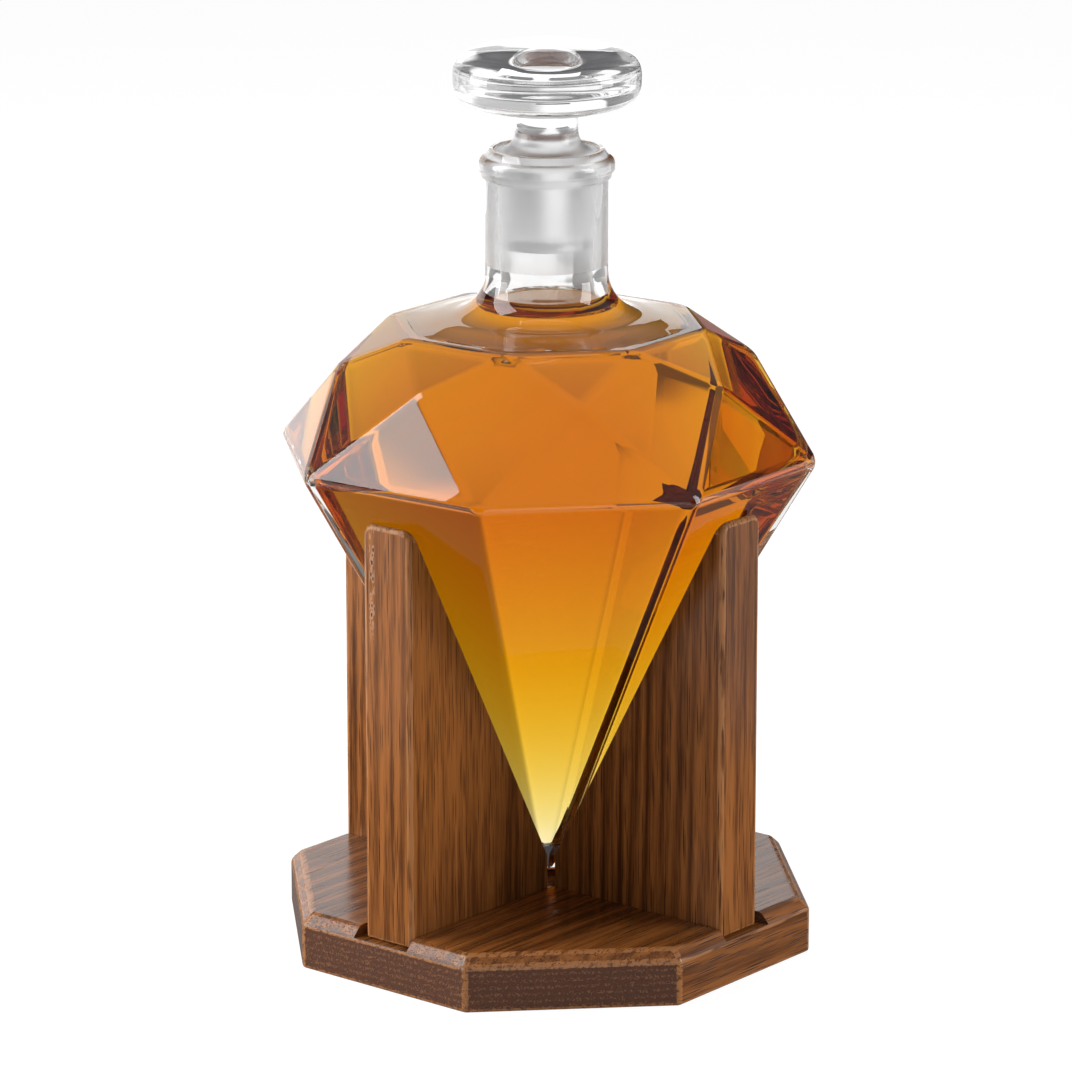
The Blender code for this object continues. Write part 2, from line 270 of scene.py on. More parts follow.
# Seen through the glass, the floor is painted darker near the stand: painted shade for the stand's shadow and
# dark surroundings. Each patch then paints more shade on it, or light where its shade is above 1.
through = mapped(paper_tree, reach, *shade_reach, *shade_strength)
for centre, half_size, edge, shade in painted_floor_patches:
    cover = 1.0
    for axis, middle, half_width in zip(spot_axes, centre, half_size):
        inside = mapped(paper_tree, distance(paper_tree, axis, middle), half_width, half_width - edge)
        cover = product(paper_tree, inside, cover)
    darkened = maths(paper_tree, "SUBTRACT", 1.0, product(paper_tree, cover, 1.0 - shade))
    through = product(paper_tree, through, darkened)
strength = product(paper_tree, bent, through)
for kind, brightness in (("Is Camera Ray", seen_brightness), ("Is Glossy Ray", mirrored_brightness)):
    strength = maths(paper_tree, "MAXIMUM", strength, product(paper_tree, paper_rays[kind], brightness))
glow = add_node(paper_tree, "ShaderNodeEmission", {"Color": studio_white, "Strength": strength})
floor_parts = {0: glow_share, 1: paper.outputs[0], 2: glow.outputs[0]}
floor_mix = add_node(paper_tree, "ShaderNodeMixShader", floor_parts)
add_node(paper_tree, "ShaderNodeOutputMaterial", {"Surface": floor_mix.outputs[0]})
floor.data.materials.append(white_paper)


# Base: an eight-sided board of stained, lacquered hardwood, chamfered along its top and sanded along every
# edge. Two shallow grooves cross on its top and take the feet of the arms. Its grain runs from the
# front left to the back right.
base_width = 0.1393
base_thickness = 0.0156
base_chamfer = 0.0029
base_easing = 0.0009
groove_depth = 0.0030
groove_snug_gap = 0.0004
groove_slack_gap = 0.0022
arm_thickness = 0.0162
sides = 8
half_side = math.pi / sides
worn_margin = 0.0008
touch = 1e-5
crease = math.radians(20)
facet_crease = math.radians(45)


def name_active(name):
    piece = bpy.context.active_object
    piece.name = name
    piece.data.name = name
    return piece


def choose(*pieces):
    """Selects only these pieces, in object mode, and makes the last one active."""
    if bpy.context.mode != "OBJECT":
        bpy.ops.object.mode_set(mode="OBJECT")
    bpy.ops.object.select_all(action="DESELECT")
    for piece in pieces:
        piece.select_set(True)
    bpy.context.view_layer.objects.active = pieces[-1]


def edit(piece):
    """Edit mode on one piece, with nothing in it selected."""
    choose(piece)
    bpy.ops.object.mode_set(mode="EDIT")
    bpy.ops.mesh.select_all(action="DESELECT")


def select_where(kind, test):
    """Selects the vertices, edges or faces of the edited mesh that pass a test."""
    bpy.ops.mesh.select_mode(type={"verts": "VERT", "edges": "EDGE", "faces": "FACE"}[kind])
    bpy.ops.mesh.select_all(action="DESELECT")
    mesh = bpy.context.active_object.data
    shape = bmesh.from_edit_mesh(mesh)
    for item in [item for item in getattr(shape, kind) if test(item)]:
        item.select_set(True)
    shape.select_flush_mode()
    bmesh.update_edit_mesh(mesh)


def select_open_edges():
    """Selects the edges round the holes of the edited mesh, and nothing else."""
    bpy.ops.mesh.select_mode(type="EDGE")
    bpy.ops.mesh.select_all(action="DESELECT")
    bpy.ops.mesh.select_non_manifold()


def apply_modifier(piece, kind, **settings):
    modifier = piece.modifiers.new(kind.lower(), kind)
    for key, value in settings.items():
        setattr(modifier, key, value)
    bpy.context.view_layer.objects.active = piece
    bpy.ops.object.modifier_apply(modifier=modifier.name)


def cut_away(piece, cutter):
    """Cuts the cutter's shape out of the piece, and deletes the cutter."""
    apply_modifier(piece, "BOOLEAN", operation="DIFFERENCE", object=cutter, solver="EXACT")
    bpy.data.objects.remove(cutter)


def mark_worn(piece):
    """Insets each wide face, and marks everything outside the insets as worn, for the material."""
    edit(piece)
    narrowest = worn_margin * 1.1
    select_where("faces", lambda face: face.calc_area() > face.calc_perimeter() * narrowest)
    count = len(bmesh.from_edit_mesh(piece.data).verts)
    bpy.ops.mesh.inset(use_individual=True, thickness=worn_margin)
    bpy.ops.object.mode_set(mode="OBJECT")
    worn = piece.data.attributes.new("worn", "FLOAT", "POINT")
    worn.data.foreach_set("value", [float(v.index < count) for v in piece.data.vertices])


def smooth_facets(piece):
    """Smooth shading that keeps the large flat faces flat."""
    piece.data.shade_smooth()
    piece.data.set_sharp_from_angle(angle=facet_crease)
    apply_modifier(piece, "WEIGHTED_NORMAL", weight=100, mode="FACE_AREA", keep_sharp=True)


def weighted(tree, *pairs):
    """The sum of values, each times its weight."""
    total = None
    for value, weight in pairs:
        part = maths(tree, "MULTIPLY", value, weight)
        total = part if total is None else maths(tree, "ADD", total, part)
    return total


def make_wood_group():
    """Stained open-grained hardwood under lacquer. The grain runs along the X of Place, in metres, and
    Facing is the surface's own direction turned the same way. Worn is 1 along the sanded edges, and Row
    is 1 where a row of large pores reaches the surface."""
    group = bpy.data.node_groups.new("stained_wood", "ShaderNodeTree")
    for name in ("Place", "Facing"):
        group.interface.new_socket(name, in_out="INPUT", socket_type="NodeSocketVector")
    for name in ("Worn", "Row", "Stain_and_light", "Contrast"):
        group.interface.new_socket(name, in_out="INPUT", socket_type="NodeSocketFloat")
    for name, kind in (("Color", "Color"), ("Roughness", "Float"), ("Height", "Float")):
        group.interface.new_socket(name, in_out="OUTPUT", socket_type=f"NodeSocket{kind}")
    given = add_node(group, "NodeGroupInput").outputs

    def stretched(along, across):
        return add_node(
            group, "ShaderNodeMapping", {"Vector": given["Place"], "Scale": (along, across, across)}
        ).outputs[0]

    def noise(along, across, detail=2.0, roughness=0.5):
        """Noise with so many waves in a metre along the grain and across it."""
        inputs = {"Vector": stretched(along, across), "Scale": 1.0}
        inputs.update({"Detail": detail, "Roughness": roughness})
        return add_node(group, "ShaderNodeTexNoise", inputs).outputs["Fac"]

    turned_to = add_node(group, "ShaderNodeSeparateXYZ", {0: given["Facing"]}).outputs
    end_grain = product(
        group,
        mapped(group, maths(group, "ABSOLUTE", turned_to[0]), 0.55, 0.68),
        mapped(group, maths(group, "ABSOLUTE", turned_to[2]), 0.60, 0.45),
    )

    # Figure: slow drifts of colour, growth rings cut into long stripes, and fine fibres.
    drift = noise(4.0, 40.0, 2.0)
    rings = add_node(
        group,
        "ShaderNodeTexWave",
        {"Vector": stretched(4.0, 95.0), "Scale": 1.0, "Distortion": 4.0, "Detail": 3.0, "Detail Scale": 1.6},
        wave_type="BANDS",
        bands_direction="DIAGONAL",
        wave_profile="SIN",
    ).outputs["Fac"]
    streaks = noise(16.0, 620.0, 3.0, 0.65)
    fibres = noise(110.0, 2600.0, 2.0, 0.7)
    tone = weighted(group, (drift, 0.35), (rings, 0.16), (streaks, 0.75), (fibres, 0.30))
    lightness = mapped(group, tone, 0.50, 1.02)

    # Open pores: long thin dashes on the faces and dots on the end grain, crowded where a ring starts.
    cells = add_node(group, "ShaderNodeTexVoronoi", {"Vector": stretched(65.0, 2500.0), "Scale": 1.0})
    picked = mapped(group, cells.outputs["Color"], 0.25, 0.70)
    crowded = mapped(group, maths(group, "ADD", streaks, product(group, rings, 0.25)), 0.46, 0.62)
    pore = mapped(group, cells.outputs["Distance"], 0.48, 0.20)
    pore = product(group, pore, product(group, picked, crowded))

    deep_brown = (0.050, 0.015, 0.0042, 1.0)
    warm_brown = (0.270, 0.094, 0.022, 1.0)
    pore_brown = (0.024, 0.009, 0.004, 1.0)
    end_brown = (0.086, 0.036, 0.021, 1.0)
    end_speck = (0.170, 0.078, 0.040, 1.0)
    glint_brown = (0.500, 0.340, 0.230, 1.0)
    bare_brown = (0.340, 0.145, 0.052, 1.0)
    # The stain's lightness is scaled by the given strength; a strength above 1, on one arm, is painted light.
    stain_and_light = maths(group, "MULTIPLY", lightness, given["Stain_and_light"], clamp=True)
    colour = blended(group, stain_and_light, deep_brown, warm_brown)
    pore_share = maths(group, "MULTIPLY", pore, given["Contrast"], clamp=True)
    colour = blended(group, pore_share, colour, pore_brown)

    # End grain: dark, with lighter rings broken up into specks.
    end_rings = add_node(
        group,
        "ShaderNodeTexWave",
        {"Vector": given["Place"], "Scale": 170.0, "Distortion": 1.5, "Detail": 1.0, "Detail Scale": 0.5},
        wave_type="BANDS",
        bands_direction="Z",
    ).outputs["Fac"]
    dots = noise(1200.0, 2000.0, 1.0)
    specks = mapped(group, maths(group, "ADD", dots, product(group, end_rings, 0.16)), 0.62, 0.78)
    ends = blended(group, specks, end_brown, end_speck)
    ends = blended(group, product(group, pore, 0.5), ends, pore_brown)
    colour = blended(group, end_grain, colour, ends)

    # A row of large open pores, each with a pale rim: in part pale lacquer, in part a painted glint.
    row = given["Row"]
    large_cells = add_node(group, "ShaderNodeTexVoronoi", {"Vector": stretched(420.0, 1000.0), "Scale": 1.0})
    from_middle = large_cells.outputs["Distance"]
    rim = product(group, mapped(group, from_middle, 0.22, 0.36), mapped(group, from_middle, 0.62, 0.45))
    colour = blended(group, product(group, row, product(group, rim, 0.35)), colour, glint_brown)
    hole = product(group, row, mapped(group, from_middle, 0.32, 0.20))
    colour = blended(group, hole, colour, pore_brown)
    pore = maths(group, "MAXIMUM", pore, hole)

    # The sanded edges: stain rubbed off in a ragged line, with the pores still dark.
    ragged = product(group, maths(group, "SUBTRACT", noise(90.0, 1000.0, 2.0, 0.6), 0.5), 1.1)
    rubbed = mapped(group, maths(group, "ADD", given["Worn"], ragged), 0.80, 1.02)
    rubbed = product(group, rubbed, maths(group, "SUBTRACT", 0.80, product(group, pore, 0.8)))
    colour = blended(group, rubbed, colour, bare_brown)

    # The fibres and pores also show in the lacquer's gloss and relief.
    roughness = maths(group, "ADD", product(group, fibres, 0.22), 0.28)
    roughness = maths(group, "ADD", roughness, product(group, pore, 0.2))
    height = maths(group, "SUBTRACT", product(group, fibres, 0.30), pore)
    add_node(group, "NodeGroupOutput", {"Color": colour, "Roughness": roughness, "Height": height})
    return group


stained_wood = make_wood_group()
relief_strength = 0.5
relief_depth = 0.00010
lacquer_roughness = 0.18
lacquer_ior = 1.38


def wood_material(name, turn, shift, stain_and_light, lacquer):
    """The stained wood, its grain turned from X by three angles and moved to its own part of a plank."""
    material = bpy.data.materials.new(name)
    material.use_nodes = True
    tree = material.node_tree
    shader = tree.nodes["Principled BSDF"]
    coordinates = add_node(tree, "ShaderNodeTexCoord").outputs
    placing = {"Vector": coordinates["Object"], "Rotation": turn, "Location": shift}
    place = add_node(tree, "ShaderNodeMapping", placing).outputs[0]
    turning = {"Vector": coordinates["Normal"], "Rotation": turn}
    facing = add_node(tree, "ShaderNodeMapping", turning).outputs[0]
    worn = add_node(tree, "ShaderNodeAttribute", attribute_name="worn").outputs["Fac"]
    wood = add_node(tree, "ShaderNodeGroup", node_tree=stained_wood)
    for key, value in (("Place", place), ("Facing", facing), ("Worn", worn)):
        tree.links.new(value, wood.inputs[key])
    # A stain strength of 1 is the wood's own stain; above 1 it is painted light.
    wood.inputs["Stain_and_light"].default_value = stain_and_light
    wood.inputs["Contrast"].default_value = 1.0
    relief = {"Strength": relief_strength, "Distance": relief_depth, "Height": wood.outputs["Height"]}
    bump = add_node(tree, "ShaderNodeBump", relief).outputs[0]
    tree.links.new(wood.outputs["Color"], shader.inputs["Base Color"])
    tree.links.new(wood.outputs["Roughness"], shader.inputs["Roughness"])
    tree.links.new(bump, shader.inputs["Normal"])
    tree.links.new(bump, shader.inputs["Coat Normal"])
    shader.inputs["Specular IOR Level"].default_value = 0.0
    shader.inputs["Coat Weight"].default_value = lacquer
    shader.inputs["Coat Roughness"].default_value = lacquer_roughness
    shader.inputs["Coat IOR"].default_value = lacquer_ior
    return material


base_wood = wood_material("base_wood", (0, 0, -math.pi / 4), (0.31, 0.12, 0.07), 1.0, 1.0)

bpy.ops.object.select_all(action="DESELECT")
bpy.ops.mesh.primitive_cylinder_add(
    vertices=sides,
    radius=base_width / 2 / math.cos(half_side),
    depth=base_thickness,
    location=(0, 0, base_thickness / 2),
    rotation=(0, 0, half_side),
)
base = name_active("base_board")
bpy.ops.object.transform_apply(location=True, rotation=True, scale=True)
edit(base)
select_where("edges", lambda edge: all(v.co.z > base_thickness - touch for v in edge.verts))
bpy.ops.mesh.bevel(offset=base_chamfer, segments=1)
select_where("edges", lambda edge: edge.calc_face_angle(0) > crease)
bpy.ops.mesh.bevel(offset=base_easing, segments=3)
bpy.ops.object.mode_set(mode="OBJECT")
mark_worn(base)
for turn in (math.pi / 4, -math.pi / 4):
    bpy.ops.object.select_all(action="DESELECT")
    bpy.ops.mesh.primitive_cube_add(size=1)
    cutter = name_active("groove_cutter")
    cutter.scale = (base_width * 1.2, arm_thickness + groove_snug_gap + groove_slack_gap, groove_depth * 2)
    cutter.rotation_euler.z = turn
    shift = (groove_slack_gap - groove_snug_gap) / 2
    cutter.location = (-shift * math.sin(turn), shift * math.cos(turn), base_thickness)
    bpy.ops.object.transform_apply(location=True, rotation=True, scale=True)
    cut_away(base, cutter)
base.data.materials.append(base_wood)

# The countersunk screw holes, two in line under each arm.
screw_reaches = (0.027, 0.054)
countersink_radius = 0.0043
countersink_depth = 0.0034
screw_hole_radius = 0.0023
screw_hole_segments = 32
overlap = 0.0002
overrun = 0.001
for degrees in (45, 135, 225, 315):
    for screw_reach in screw_reaches:
        turn = math.radians(degrees)
        for foot_radius, top_radius, bottom, top in (
            (countersink_radius + overlap, screw_hole_radius, -overlap, countersink_depth),
            (screw_hole_radius, screw_hole_radius, countersink_depth - overlap, base_thickness + overrun),
        ):
            bpy.ops.object.select_all(action="DESELECT")
            bpy.ops.mesh.primitive_cone_add(
                vertices=screw_hole_segments,
                radius1=foot_radius,
                radius2=top_radius,
                depth=top - bottom,
                location=(screw_reach * math.cos(turn), screw_reach * math.sin(turn), (top + bottom) / 2),
            )
            cutter = name_active("screw_hole_cutter")
            bpy.ops.object.transform_apply(location=True, rotation=True, scale=True)
            cut_away(base, cutter)
smooth_facets(base)
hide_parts("base_plate")
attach(base, "stand")


# Arms: four boards of the same wood, grain upright, stood in the grooves. The inner edge of each is sawn
# to the slope of the glass, and the outer edge is rounded over. One is made and copied for each place, and
# the one at the back left gets a paler copy of the wood, painted light.
arm_height = 0.1124
arm_outer_reach = 0.0670
arm_inner_reach = 0.0093
arm_edge_radius = 0.0012
arm_corner_radius = 0.0030
arm_easing = 0.0005
arm_crease = math.radians(25)
clear_of = 0.001
foot_gap = 0.0003
seat_gap = 0.0003
glass_turn = math.radians(3.0)
apex_height = 0.0085
pavilion_depth = 0.1290
girdle_radius = 0.0756
girdle_apothem = girdle_radius * math.cos(half_side)
pavilion_slope = pavilion_depth / girdle_apothem
arm_directions = {"front_left": -135, "front_right": -45, "back_right": 45, "back_left": 135}
arm_foot = base_thickness - groove_depth + foot_gap
arm_top = base_thickness + arm_height
seat_drop = (seat_gap + arm_thickness / 2 * math.sin(glass_turn)) * math.hypot(1, pavilion_slope)

bpy.ops.object.select_all(action="DESELECT")
bpy.ops.mesh.primitive_cube_add(size=1)
arm_pattern = name_active("arm_pattern")
arm_pattern.scale = (arm_outer_reach - arm_inner_reach, arm_thickness, arm_top - arm_foot)
arm_pattern.location = ((arm_outer_reach + arm_inner_reach) / 2, 0, (arm_top + arm_foot) / 2)
bpy.ops.object.transform_apply(location=True, rotation=True, scale=True)
edit(arm_pattern)
select_where(
    "edges",
    lambda edge: all(v.co.z > arm_top - touch for v in edge.verts)
    and abs(edge.verts[0].co.x - edge.verts[1].co.x) > arm_thickness,
)
bpy.ops.mesh.bevel(offset=arm_corner_radius, segments=8, clamp_overlap=False)
select_where(
    "edges",
    lambda edge: all(v.co.x > arm_outer_reach - touch for v in edge.verts)
    and any(v.co.z > arm_foot + clear_of for v in edge.verts),
)
bpy.ops.mesh.bevel(offset=arm_edge_radius, segments=4)
bpy.ops.mesh.select_all(action="SELECT")
bpy.ops.mesh.bisect(
    plane_co=(0, 0, apex_height - seat_drop),
    plane_no=Vector((-pavilion_slope, 0, 1)).normalized(),
    use_fill=True,
    clear_outer=True,
)
select_where(
    "edges",
    lambda edge: edge.calc_face_angle(0) > arm_crease
    and all(v.co.z < arm_top - arm_corner_radius - clear_of for v in edge.verts)
    or all(v.co.z < arm_foot + touch for v in edge.verts),
)
bpy.ops.mesh.bevel(offset=arm_easing, segments=3)
bpy.ops.object.mode_set(mode="OBJECT")
mark_worn(arm_pattern)
upright = (0, math.pi / 2, 0)
arm_lacquer = 0.6
arm_wood = wood_material("arm_wood", upright, (0.05, 0.21, 0.13), 1.0, arm_lacquer)
# A paler copy for the back left arm: painted light, standing in for the strong light from the left on it.
lit_arm_wood = wood_material("lit_arm_wood", upright, (0.35, 0.41, 0.23), 1.45, arm_lacquer)

# A row of large open pores, with painted glints round them, runs down the outer edge of the front left arm,
# from its top.
pore_row_place = (-0.0509, -0.0439)
pore_row_edge = (0.0011, 0.0007)
pore_row_foot = (0.094, 0.104)
arm_tree = arm_wood.node_tree
arm_place = add_node(arm_tree, "ShaderNodeTexCoord").outputs["Object"]
arm_axes = add_node(arm_tree, "ShaderNodeSeparateXYZ", {0: arm_place}).outputs
across = [maths(arm_tree, "SUBTRACT", axis, value) for axis, value in zip(arm_axes, pore_row_place)]
squares = [product(arm_tree, value, value) for value in across]
apart = maths(arm_tree, "SQRT", maths(arm_tree, "ADD", *squares))
pore_row = product(
    arm_tree, mapped(arm_tree, apart, *pore_row_edge), mapped(arm_tree, arm_axes[2], *pore_row_foot)
)
wood_node = next(node for node in arm_tree.nodes if node.type == "GROUP")
arm_tree.links.new(pore_row, wood_node.inputs["Row"])
arm_pattern.data.materials.append(arm_wood)
smooth_facets(arm_pattern)
for name, degrees in arm_directions.items():
    arm = bpy.data.objects.new(f"arm_{name}_board", arm_pattern.data.copy())
    bpy.context.scene.collection.objects.link(arm)
    arm.data.transform(Matrix.Rotation(math.radians(degrees), 4, "Z"))
    # The back left arm gets the paler copy, painted light.
    if name == "back_left":
        arm.data.materials[0] = lit_arm_wood
    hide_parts(f"arm_{name}")
    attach(arm, "stand")
bpy.data.objects.remove(arm_pattern)


# Screws: plain zinc-plated steel, countersunk in the underside of the base. Two go up into each arm and
# hold it in its groove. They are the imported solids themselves, with a steel finish.
steel_grey = (0.62, 0.61, 0.58, 1.0)
steel = bpy.data.materials.new("screw_steel")
steel.use_nodes = True
steel_tree = steel.node_tree
steel_shader = steel_tree.nodes["Principled BSDF"]
steel_place = add_node(steel_tree, "ShaderNodeTexCoord").outputs["Object"]
fine_scratches = {"Vector": steel_place, "Scale": 1800.0, "Detail": 3.0}
scratches = add_node(steel_tree, "ShaderNodeTexNoise", fine_scratches)
steel_shader.inputs["Base Color"].default_value = steel_grey
steel_shader.inputs["Metallic"].default_value = 1.0
steel_tree.links.new(
    mapped(steel_tree, scratches.outputs["Fac"], 0.3, 0.7, 0.22, 0.45), steel_shader.inputs["Roughness"]
)
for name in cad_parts:
    if name.startswith("screw_"):
        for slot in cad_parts[name].material_slots:
            slot.material = steel


# Decanter: clear glass blown in a faceted mould. Two shells, the outer gem and the inner one, meet in
# the ground bore of the neck. Every facet is a plane cut from a block, and every edge is fire-polished.
glass_wall = 0.0042
break_radius = 0.0573
table_radius = 0.0438
table_rise = 0.0352
neck_radius = 0.0167
shoulder_fillet = 0.0120
lip_radius = 0.0185
lip_round = 0.0024
lip_drop = 0.0018
lip_thickness = 0.0077
lip_under_rise = 0.0013
bore_top_radius = 0.0141
bore_radius = 0.0125
ground_length = 0.0322
neck_segments = 96
table_crown = 0.0020
table_steps = 5
part_round = 0.35
table_apothem = table_radius * math.cos(half_side)
facet_rounding = 0.0016
inner_facet_rounding = 0.0032
facet_segments = 4
tip_wall_share = 2.1
almost_level = 0.999
just_off = 1e-4
tip_flat, lip_top = (corner.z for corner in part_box("decanter_body"))
inner_tip = tip_flat + glass_wall * tip_wall_share
girdle_height = apex_height + pavilion_depth


def facet_planes():
    """Each facet as a slope, the direction it faces and a point on it, as radius and height."""
    kite_slope = table_rise / (girdle_radius - table_radius)
    break_rise = kite_slope * (girdle_radius - break_radius * math.cos(half_side))
    girdle_slope = break_rise / (girdle_apothem - break_radius)
    star_slope = (table_rise - break_rise) / (break_radius - table_apothem)
    kinds = (
        (-pavilion_slope, 0, girdle_apothem, 0),
        (girdle_slope, 0, girdle_apothem, 0),
        (kite_slope, half_side, girdle_radius, 0),
        (star_slope, 0, break_radius, break_rise),
    )
    for slope, turn, radius, rise in kinds:
        for i in range(sides):
            facing = Matrix.Rotation(turn + i * 2 * half_side + glass_turn, 3, "Z") @ Vector((1, 0, 0))
            normal = (facing * abs(slope) + Vector((0, 0, math.copysign(1, slope)))).normalized()
            yield facing * radius + Vector((0, 0, girdle_height + rise)), normal


def cut_gem(name, inset, tip_height, rounding):
    """A block cut by every facet plane moved in by the inset, with rounded edges. Its table is selected."""
    bpy.ops.object.select_all(action="DESELECT")
    bpy.ops.mesh.primitive_cylinder_add(vertices=sides, radius=girdle_radius * 2, depth=lip_top * 2)
    gem = name_active(name)
    edit(gem)
    down, up = Vector((0, 0, -1)), Vector((0, 0, 1))
    table = girdle_height + table_rise - inset
    cuts = [(point - normal * inset, normal) for point, normal in facet_planes()]
    for point, normal in (*cuts, (up * tip_height, down), (up * table, up)):
        bpy.ops.mesh.select_all(action="SELECT")
        bpy.ops.mesh.bisect(plane_co=point, plane_no=normal, use_fill=True, clear_outer=True)
    bpy.ops.mesh.select_all(action="SELECT")
    bpy.ops.mesh.remove_doubles(threshold=inner_facet_rounding / 100)
    bpy.ops.mesh.bevel(offset=rounding, segments=facet_segments, affect="EDGES", clamp_overlap=True)
    select_where(
        "faces", lambda face: face.normal.z > almost_level and face.calc_center_median().z > table - just_off
    )
    return gem


def open_table(radius):
    """Opens the selected table and draws its rim in and up to a round ring, which stays selected."""
    bpy.ops.mesh.inset(thickness=facet_rounding)
    bpy.ops.mesh.delete(type="ONLY_FACE")
    select_open_edges()
    mesh = bpy.context.active_object.data
    corners = sum(v.select for v in bmesh.from_edit_mesh(mesh).verts)
    bpy.ops.mesh.subdivide(number_cuts=neck_segments // corners - 1)
    rim = [v.co for v in bmesh.from_edit_mesh(mesh).verts if v.select]
    last_radius = sum(math.hypot(co.x, co.y) for co in rim) / len(rim)
    height = rim[0].z
    for step in range(1, table_steps + 1):
        share = step / table_steps
        rise = table_crown * (share**1.5 - ((step - 1) / table_steps) ** 1.5)
        bpy.ops.mesh.extrude_region_move(TRANSFORM_OT_translate={"value": (0, 0, rise)})
        height += rise
        bpy.ops.transform.tosphere(value=1 if step == table_steps else part_round)
        next_radius = table_apothem + (radius - table_apothem) * share
        ratio = next_radius / last_radius
        bpy.ops.transform.resize(value=(ratio, ratio, 1), center_override=(0, 0, height))
        last_radius = next_radius
    return radius, height


def extend_ring(start, profile):
    """Extrudes the selected ring through the profile's (radius, height) pairs; the last stays selected."""
    radius, height = start
    for next_radius, next_height in profile:
        bpy.ops.mesh.extrude_region_move(TRANSFORM_OT_translate={"value": (0, 0, next_height - height)})
        ratio = next_radius / radius
        bpy.ops.transform.resize(value=(ratio, ratio, 1), center_override=(0, 0, next_height))
        radius, height = next_radius, next_height


def arc(centre, radius, start, end, steps):
    """Points of an arc in the profile's plane, without its first, from one angle to another in degrees."""
    angles = [math.radians(start + (end - start) * i / steps) for i in range(1, steps + 1)]
    return [(centre[0] + radius * math.cos(a), centre[1] + radius * math.sin(a)) for a in angles]


glass_ior = 1.5
drink_ior = 1.36
ripple_scale = 45.0
ripple_depth = 0.00006
clear_white = (1.0, 1.0, 1.0, 1.0)


def glass_material(name, ior, roughness=0.0, clearness=1.0):
    """Glass that light goes through, with the faint ripples of a blown surface."""
    material = bpy.data.materials.new(name)
    material.use_nodes = True
    tree = material.node_tree
    shader = tree.nodes["Principled BSDF"]
    shader.inputs["Base Color"].default_value = clear_white
    shader.inputs["Roughness"].default_value = roughness
    shader.inputs["IOR"].default_value = ior
    shader.inputs["Transmission Weight"].default_value = clearness
    place = add_node(tree, "ShaderNodeTexCoord").outputs["Object"]
    waves = add_node(tree, "ShaderNodeTexNoise", {"Vector": place, "Scale": ripple_scale, "Detail": 1.0})
    ripples = {"Strength": 1.0, "Distance": ripple_depth, "Height": waves.outputs["Fac"]}
    bump = add_node(tree, "ShaderNodeBump", ripples)
    tree.links.new(bump.outputs[0], shader.inputs["Normal"])
    return material


clear_glass = glass_material("clear_glass", glass_ior)
wet_glass = glass_material("wet_glass", glass_ior / drink_ior)
ground_glass = glass_material("ground_glass", glass_ior, roughness=0.28, clearness=0.97)


def mark_all(piece, name, value):
    """Gives every vertex the same value of a named attribute."""
    layer = piece.data.attributes.new(name, "FLOAT", "POINT")
    layer.data.foreach_set("value", [value] * len(piece.data.vertices))


crest_round = 0.0009
lip_foot_round = 0.0010
under_lip_round = 0.0008
lip_side_top = lip_top - lip_drop - lip_round
lip_side_bottom = lip_top - lip_thickness + lip_under_rise
neck_top = lip_side_bottom - lip_under_rise - under_lip_round

decanter = cut_gem("decanter_glass", 0, tip_flat, facet_rounding)
start = open_table(neck_radius + shoulder_fillet)
outer_neck = [
    *arc((start[0], start[1] + shoulder_fillet), shoulder_fillet, 270, 180, 12),
    (neck_radius, neck_top),
    *arc((neck_radius + under_lip_round, neck_top), under_lip_round, 180, 90, 3),
    *arc((lip_radius - lip_foot_round, lip_side_bottom + lip_foot_round), lip_foot_round, 270, 360, 4),
    *arc((lip_radius - lip_round, lip_side_top), lip_round, 0, 75, 8),
    (bore_top_radius + crest_round * 1.6, lip_top - 0.0001),
    *arc((bore_top_radius + crest_round, lip_top - crest_round), crest_round, 90, 180, 4),
]
extend_ring(start, outer_neck)
bpy.ops.object.mode_set(mode="OBJECT")

inner_shell = cut_gem("inner_shell", glass_wall, inner_tip, inner_facet_rounding)
inner_fillet = shoulder_fillet + neck_radius - bore_radius
filled_to = 9
start = open_table(bore_radius + inner_fillet)
inner_arc = arc((start[0], start[1] + inner_fillet), inner_fillet, 270, 180, 14)
drink_height = inner_arc[filled_to][1]
extend_ring(start, [*inner_arc, (bore_radius, lip_top - ground_length)])
bpy.ops.object.mode_set(mode="OBJECT")
mark_all(inner_shell, "in_hollow", 1.0)
mark_all(decanter, "in_hollow", 0.0)

choose(inner_shell, decanter)
bpy.ops.object.join()
edit(decanter)
select_open_edges()
bpy.ops.mesh.bridge_edge_loops(number_cuts=4)
bpy.ops.mesh.select_all(action="SELECT")
bpy.ops.mesh.normals_make_consistent(inside=False)
bpy.ops.object.mode_set(mode="OBJECT")
for material in (clear_glass, wet_glass, ground_glass):
    decanter.data.materials.append(material)
wet, ground = 1, 2
in_hollow = decanter.data.attributes["in_hollow"].data
for face in decanter.data.polygons:
    heights = [decanter.data.vertices[i].co.z for i in face.vertices]
    middle = sum(heights) / len(heights)
    in_bore = math.hypot(face.center.x, face.center.y) < bore_top_radius - touch
    if all(in_hollow[i].value > 0.5 for i in face.vertices) and middle < drink_height:
        face.material_index = wet
    elif middle > lip_top - ground_length and in_bore:
        face.material_index = ground
smooth_facets(decanter)
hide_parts("decanter_body")
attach(decanter, "decanter")


# Drink: an amber spirit, up to the foot of the neck. It's a copy of the wetted inside of the glass, a hair
# smaller, closed by a level top that climbs a little where it meets the glass. The glass's own wet faces
# bend the light at its sides, so only its top bends light itself.
skin = 0.00003
meniscus = ((0.0004, -0.0004), (0.0006, -0.0002), (0.0012, -0.0001), (0.004, 0.0))
meniscus_reach = 0.002
steepest_top = 0.3
absorbed_per_metre = (3.8, 15.2, 70.0)
most_absorbed = max(absorbed_per_metre)

